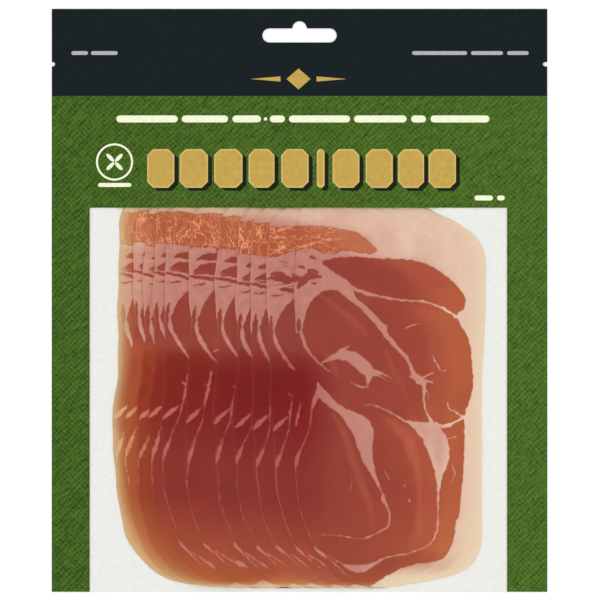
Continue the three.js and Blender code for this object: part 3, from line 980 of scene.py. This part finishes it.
def zoneShares(index, x, y):
    # how strongly each zone's look shows at a point
    look = zoneLook
    columns, rows = columnOf(x), rowOf(y)
    left, right = sideX(index, y)
    leftSide = 1 - ramp(columns, *look["leftEnd"])
    size, across, down = look["crimsonWave"]
    slanted = rows - look["crimsonLean"] * (columns - look["crimsonColumn"])
    slanted = slanted + size * np.sin(columns / across + index) * np.sin(rows / down)
    start, end = look["footRows"]
    foot = np.clip((rows - start) / (end - start), 0, 1)
    corner = ramp(rows, *look["cornerRows"]) * (1 - ramp(columns, *look["cornerColumns"]))
    bottom = ramp(rows, *look["bottomRows"]) * (1 - corner)
    width = (look["goldWidth"] * (1 - corner - bottom) + look["goldCornerWidth"] * corner
             + look["goldFootWidth"] * bottom)
    gold = look["goldShare"] * np.exp(-(pileOutlineDistance(x, y) / width) ** look["goldCurve"])
    capRow = rows - look["capDrop"] * (1 - ramp(columns, *look["capDropColumns"]))
    width = look["creamWidth"] * (1 + look["creamWider"] * ramp(rows, *look["creamWiderRows"]))
    cream = np.exp(-np.maximum(right - x, 0) / width) * ramp(rows, *look["creamRows"])
    creamFoot = ramp(rows, *look["creamFootRows"]) * ramp(columns, *look["creamFootColumns"])
    first, last = index == 0, index == sliceCount - 1
    return {
        "leftShare": leftSide * ramp(rows, *look["leftRows"]),
        "crimsonShare": between(slanted, *look["crimsonRows"]) * leftSide,
        "footShare": foot * (look["rightFoot"] + (1 - look["rightFoot"]) * leftSide),
        "goldShare": gold * (1 - ramp(columns, *look["goldColumns"])),
        "capShare": look["capShare"] * (1 - ramp(capRow, *look["capRows"])),
        "creamShare": np.maximum(cream, look["creamFoot"] * creamFoot),
        "edgeShare": np.zeros_like(x) if first or last else alongEdge("edge", rows, x - left),
        # painted shadow on this slice, beside the left edge of the next slice up
        "paintedShadowShare": np.zeros_like(x) if last else alongEdge("paintedShadow", rows, sideX(index + 1, y)[0] - x),
        "blushShare": leftSide * between(rows, *look["blushRows"]),
        "leafShare": (leftSide * ramp(rows, *look["leafRows"])
                      * (1 - look["leafFade"] * ramp(rows, *look["leafFoot"]))),
    }


def layersAt(fields, index, x, y, blush):
    # number of slices that lie there, fat counting for less than lean
    layers = np.ones_like(x)
    fatDepth = zoneLook["fatDepth"] + zoneLook["fatDepthAdded"] * ramp(rowOf(y), *zoneLook["deepFoot"])
    soft, blur = zoneLook["layerEdge"], zoneLook["layerBlur"]
    for below in range(index):
        left, right = sideX(below, y)
        foot = footOf(below)
        inside = between(x, left - soft / 2, left + soft / 2, right - soft, right + soft)
        inside = inside * ramp(y, foot - soft / 2, foot + soft / 2)
        leanBelow = ramp(markAt(fields, below, x, y), -blur, blur)
        layers += (fatDepth + (1 - fatDepth) * leanBelow) * inside
    return layers + zoneLook["pinkDepth"] * blush


def makeSlice(index, fields, meat):
    xs, ys = sliceGrid(index)
    floor = sliceFloor(index, xs, ys)
    left, right = sideX(index, ys)
    inward = np.minimum(np.minimum(xs - left, right - xs), ys - footOf(index))
    thin = sliceMesh["thinEdge"]
    thick = sliceThick * (thin + (1 - thin) * ramp(inward, 0, sliceMesh["taper"]))
    upper = np.stack([xs, ys, floor + thick], axis=-1).reshape(-1, 3)
    faces, picked = slabFaces(*xs.shape)
    under = np.stack([xs, ys, floor], axis=-1).reshape(-1, 3)[picked]
    piece = addMesh(f"hamSlice{index + 1:02d}", np.vstack([upper, under]), faces)
    piece.data.set_sharp_from_angle(angle=math.radians(sliceMesh["sharpFrom"]))

    x, y = upper[:, 0], upper[:, 1]
    zones = zoneShares(index, x, y)
    orange = ramp(-markAt(fields, index, x, y, "Orange"), *zoneLook["orangeEdge"])
    values = {
        "fatDistance": markAt(fields, index, x, y),
        "layersDeep": (layersAt(fields, index, x, y, zones["blushShare"]) - 1) / (sliceCount - 1),
        "orangeShare": orange,
        "netShare": orange * (1 - ramp(markPlace(index, x, y)[0], *zoneLook["netEnd"])),
        "paleShare": 1 - ramp(markAt(fields, index, x, y, "Pale"), *zoneLook["paleEdge"]),
        **zones,
    }
    for attribute, numbers in values.items():
        pointAttribute(piece.data, attribute, np.concatenate([numbers, numbers[picked]]))
    stretch = zoneLook["topNetStretch" if index >= sliceCount - 2 else "netStretch"]
    apart = np.full_like(x, index * zoneLook["netApart"])
    place = np.stack([x * stretch[0], y * stretch[1], apart], axis=-1) * mm
    layer = piece.data.attributes.new("netPlace", "FLOAT_VECTOR", "POINT")
    layer.data.foreach_set("vector", np.concatenate([place, place[picked]]).astype(np.float32).ravel())
    piece.data.materials.append(meat)
    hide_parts(f"slice_{index + 1:02d}")
    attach(piece, "root")


def makeSlices():
    fields = makeMarks()
    meat = hamMeat()
    for index in range(sliceCount):
        makeSlice(index, fields, meat)
    print("slices laid")


# print on the front film: plain figures, in photo pixels
filmPrint = {
    "headerFoot": 96.0,
    "blocks": [(147.3, 174.5), (179.8, 208.1), (214.3, 242.6), (248.7, 274.5), (281.2, 308.6),
               (316.8, 324.5), (332.5, 359.3), (365.6, 392.8), (398, 424), (428.6, 455.9)],
    "blockRows": (149.2, 188.0), "blockChamfer": 6.0, "blockChamferLimit": 0.32,
    "blockRim": 1.5, "blockRimChamfer": 0.85, "blockShadow": (4.0, 3.0),
    "creamBars": [(116.3, 177.9), (181.7, 228.2), (232.4, 261.1), (269.8, 285), (288.9, 350.1),
                  (353.9, 406.6), (411, 425.9), (430.5, 489.4)],
    "creamRows": (115.5, 122.5), "creamDot": (265.5, 119.0, 1.7),
    "greyBars": [(71.4, 88), (91, 117.7), (412, 467), (471, 503), (507, 528.6)],
    "greyRows": (51.2, 55.0),
    "smallBars": [(474.5, 493), (497, 504.7)], "smallRows": (195.5, 200.5),
    "ring": {"centre": (114.6, 162.0), "radius": 17.6, "stroke": 2.0},
    "petal": {"half": 4.2, "reach": 11.5, "middle": 0.52, "length": 0.46},
    "ringBar": (98, 131.5, 183, 187),
    "ornament": {"centre": (298.5, 79.0), "half": (12, 10.5), "arm": (18, 48), "armHalf": 2.6},
}


def rectangle(left, right, low, high):
    return [(left, low), (right, low), (right, high), (left, high)]


def chamfered(left, right, top, bottom, cut):
    return [(left + cut, top), (right - cut, top), (right, top + cut), (right, bottom - cut),
            (right - cut, bottom), (left + cut, bottom), (left, bottom - cut), (left, top + cut)]


def circle(centre, radius, steps=36, squash=1.0, turn=0.0):
    points = []
    for step in range(steps):
        angle = 2 * math.pi * step / steps
        x, y = radius * math.cos(angle), radius * squash * math.sin(angle)
        points.append((centre[0] + x * math.cos(turn) - y * math.sin(turn),
                       centre[1] + x * math.sin(turn) + y * math.cos(turn)))
    return points


def pill(left, right, top, bottom, steps=6):
    radius, middle = (bottom - top) / 2, (top + bottom) / 2
    points = []
    for side, centre in ((1, right - radius), (-1, left + radius)):
        for step in range(steps + 1):
            angle = math.pi * (step / steps - 0.5)
            away = side * radius
            points.append((centre + away * math.cos(angle), middle + away * math.sin(angle)))
    return points


def printFigures():
    # (ink, outline) in the order they are printed: later ones lie over earlier ones
    figures, rimmed = [], []
    top, bottom = filmPrint["blockRows"]
    moveX, moveY = filmPrint["blockShadow"]
    rim = filmPrint["blockRim"]
    for left, right in filmPrint["blocks"]:
        cut = min(filmPrint["blockChamfer"], (right - left) * filmPrint["blockChamferLimit"])
        block = chamfered(left, right, top, bottom, cut)
        face = chamfered(left + rim, right - rim, top + rim, bottom - rim, cut * filmPrint["blockRimChamfer"])
        figures.append(("shadow", [(x + moveX, y + moveY) for x, y in block]))
        rimmed += [("paleGold", block), ("gold", face)]
    figures += rimmed
    for name, ink in (("cream", "cream"), ("grey", "grey"), ("small", "cream")):
        for left, right in filmPrint[name + "Bars"]:
            figures.append((ink, pill(left, right, *filmPrint[name + "Rows"])))
    dotX, dotY, dotRadius = filmPrint["creamDot"]
    figures.append(("cream", circle((dotX, dotY), dotRadius, 14)))
    ring, petal = filmPrint["ring"], filmPrint["petal"]
    for ink, side in (("cream", 1), ("green", -1)):
        figures.append((ink, circle(ring["centre"], ring["radius"] + side * ring["stroke"] / 2, 60)))
    half, reach = petal["half"], petal["reach"]
    for turn in np.radians((45, 135, 225, 315)):
        x = ring["centre"][0] + reach * petal["middle"] * math.cos(turn)
        y = ring["centre"][1] + reach * petal["middle"] * math.sin(turn)
        figures.append(("cream", circle((x, y), reach * petal["length"], 24, half / reach, turn)))
    figures.append(("cream", pill(*filmPrint["ringBar"])))
    ornament = filmPrint["ornament"]
    (x, y), (halfX, halfY) = ornament["centre"], ornament["half"]
    figures.append(("gold", [(x - halfX, y), (x, y - halfY), (x + halfX, y), (x, y + halfY)]))
    (near, far), armHalf = ornament["arm"], ornament["armHalf"]
    for side in (-1, 1):
        root, tip = x + side * near, x + side * far
        figures.append(("gold", [(root, y - armHalf), (tip, y), (root, y + armHalf)]))
    return figures


headerCuts = {"slotWidth": 32.0, "slotHeight": 6.05, "slotHump": 3.1, "slotMiddle": 113.9,
              "notchWidth": 1.85, "notchMiddle": 101.5, "notchDepths": (1.4, 1.9)}


def arc(centre, radius, start, end, steps):
    angles = np.radians(np.linspace(start, end, steps + 1))
    return [(centre[0] + radius * math.cos(a), centre[1] + radius * math.sin(a)) for a in angles]


def slotOutline():
    radius = headerCuts["slotHeight"] / 2
    endX = headerCuts["slotWidth"] / 2 - radius
    middle = headerCuts["slotMiddle"]
    return (arc((endX, middle), radius, -90, 90, 12)
            + arc((0, middle + radius), headerCuts["slotHump"], 0, 180, 14)
            + arc((-endX, middle), radius, 90, 270, 12))


def notchOutline(side):
    radius = headerCuts["notchWidth"] / 2
    edge = side * backHigh[0]
    depth = headerCuts["notchDepths"][0 if side < 0 else 1]
    middle = headerCuts["notchMiddle"]
    endX = edge - side * (depth - radius)
    out = edge + side
    if side < 0:
        return [(out, middle - radius), *arc((endX, middle), radius, -90, 90, 10), (out, middle + radius)]
    return [(out, middle + radius), *arc((endX, middle), radius, 90, 270, 10), (out, middle - radius)]


def closeSet(outline, longest):
    # the same outline with a point at least every `longest` millimetres
    points = []
    for (x0, y0), (x1, y1) in zip(outline, outline[1:] + outline[:1]):
        parts = max(1, math.ceil(math.hypot(x1 - x0, y1 - y0) / longest))
        points += [(x0 + (x1 - x0) * i / parts, y0 + (y1 - y0) * i / parts) for i in range(parts)]
    return points


def cutSheet(frameOutline, holes, figures, spacing):
    # flat triangles over an outline, split along every hole and figure. Gives the points, the
    # triangles and the name of the figure that each triangle lies in.
    loops = [frameOutline] + holes + [outline for _, outline in figures]
    points, edges = [], []
    for outline in loops:
        start = len(points)
        loop = closeSet(outline, spacing * 0.7)
        points += [Vector(p) for p in loop]
        edges += [(start + i, start + (i + 1) % len(loop)) for i in range(len(loop))]
    xs = [p[0] for p in frameOutline]
    ys = [p[1] for p in frameOutline]
    for y in np.arange(min(ys) + spacing / 2, max(ys), spacing):
        for x in np.arange(min(xs) + spacing / 2, max(xs), spacing):
            points.append(Vector((x, y)))
    verts, _, faces, *_ = delaunay_2d_cdt(points, edges, [], 0, 1e-5)
    flat = np.array([(v.x, v.y) for v in verts])
    faces = np.array([f for f in faces if len(f) == 3])
    centre = flat[faces].mean(axis=1)
    keep = insideOutline(frameOutline, centre[:, 0], centre[:, 1])
    for hole in holes:
        keep &= ~insideOutline(hole, centre[:, 0], centre[:, 1])
    faces, centre = faces[keep], centre[keep]
    names = np.full(len(faces), "", dtype=object)
    for name, outline in figures:
        names[insideOutline(outline, centre[:, 0], centre[:, 1])] = name
    used, faces = np.unique(faces, return_inverse=True)
    return flat[used], faces.reshape(-1, 3), names


def onFilm(outline):
    return [tuple(p) for p in fromPhoto(outline)]


frontFilm = {"thickness": 0.2, "spacing": 2.4}
windowFilm = {"thickness": 0.12, "spacing": 1.6}
inkColours = {
    # name: (colour, how mottled it is)
    "header": ((23, 32, 35), 0.05), "gold": ((197, 164, 82), 0.03), "paleGold": ((214, 184, 108), 0.03),
    "shadow": ((26, 34, 22), 0.06), "cream": ((244, 248, 216), 0.02), "grey": ((176, 180, 178), 0.03),
    "white": ((241, 241, 237), 0.015),
}


def makeInks():
    inks = {"green": greenInk()}
    for name, (rgb, mottle) in inkColours.items():
        inks[name] = printedInk(name + "Ink", rgb, mottle)
    return inks


def paint(piece, inks, names):
    for ink in inks.values():
        piece.data.materials.append(ink)
    order = list(inks)
    piece.data.polygons.foreach_set("material_index", [order.index(name or "green") for name in names])


def headerOutline(foot):
    return rectangle(backLow[0] - 1, backHigh[0] + 1, foot, packTop + 1)


def thicken(piece, thickness, offset):
    solid = piece.modifiers.new("thickness", "SOLIDIFY")
    solid.thickness = thickness * mm
    solid.offset = offset


def makeFrontFilm(inks):
    header = headerOutline(fromPhoto([0, filmPrint["headerFoot"]])[1])
    figures = [("header", header)] + [(ink, onFilm(outline)) for ink, outline in printFigures()]
    opening = rectangle(windowLow[0], windowHigh[0], filmFoot - 1, windowHigh[1])
    sheet = rectangle(backLow[0], backHigh[0], filmFoot, packTop)
    holes = [slotOutline(), notchOutline(-1), notchOutline(1), opening]
    flat, faces, names = cutSheet(sheet, holes, figures, frontFilm["spacing"])
    piece = addMesh("frontFilm", filmPoints(flat[:, 0], flat[:, 1], frontFilm["thickness"]), faces.tolist())
    paint(piece, inks, names)
    thicken(piece, frontFilm["thickness"], -1)
    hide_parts("front_film")
    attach(piece, "root")
    print("front film printed")


def makeWindow():
    outline = rectangle(windowLow[0], windowHigh[0], filmFoot, windowHigh[1])
    flat, faces, _ = cutSheet(outline, [], [], windowFilm["spacing"])
    piece = addMesh("clearWindow", filmPoints(flat[:, 0], flat[:, 1], frontFilm["thickness"]), faces.tolist())
    piece.data.materials.append(clearFilm())
    thicken(piece, windowFilm["thickness"], -1)
    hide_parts("window")
    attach(piece, "root")
    print("window set")


backPrint = {"panel": (-62.0, 62.0, -96.0, 30.0), "panelCorner": 5.0, "headerFoot": 87.9, "spacing": 6.0}


def makeBackFilm(inks):
    # white inside, printed outside like the front, with a bare pale panel
    sheet = rectangle(backLow[0], backHigh[0], packBottom, packTop)
    panel = chamfered(*backPrint["panel"], backPrint["panelCorner"])
    figures = [("header", headerOutline(backPrint["headerFoot"])), ("white", panel)]
    holes = [slotOutline(), notchOutline(-1), notchOutline(1)]
    flat, faces, names = cutSheet(sheet, holes, figures, backPrint["spacing"])
    count = len(flat)
    verts = np.vstack([np.column_stack([flat, np.full(count, height)]) for height in (backHigh[2], 0.0)])
    edgeUse = {}
    for face, name in zip(faces.tolist(), names):
        for a, b in zip(face, face[1:] + face[:1]):
            edgeUse[(a, b)] = name
    rim = {(a, b): name for (a, b), name in edgeUse.items() if (b, a) not in edgeUse}
    sides = [(b, a, a + count, b + count) for a, b in rim]
    under = (faces[:, ::-1] + count).tolist()
    piece = addMesh("backFilm", verts, faces.tolist() + under + sides, smooth=False)
    paint(piece, inks, ["white"] * len(faces) + [*names, *rim.values()])
    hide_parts("back_film")
    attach(piece, "root")
    print("back film laid")


makeStudio()
makeSlices()
inks = makeInks()
makeFrontFilm(inks)
makeWindow()
makeBackFilm(inks)
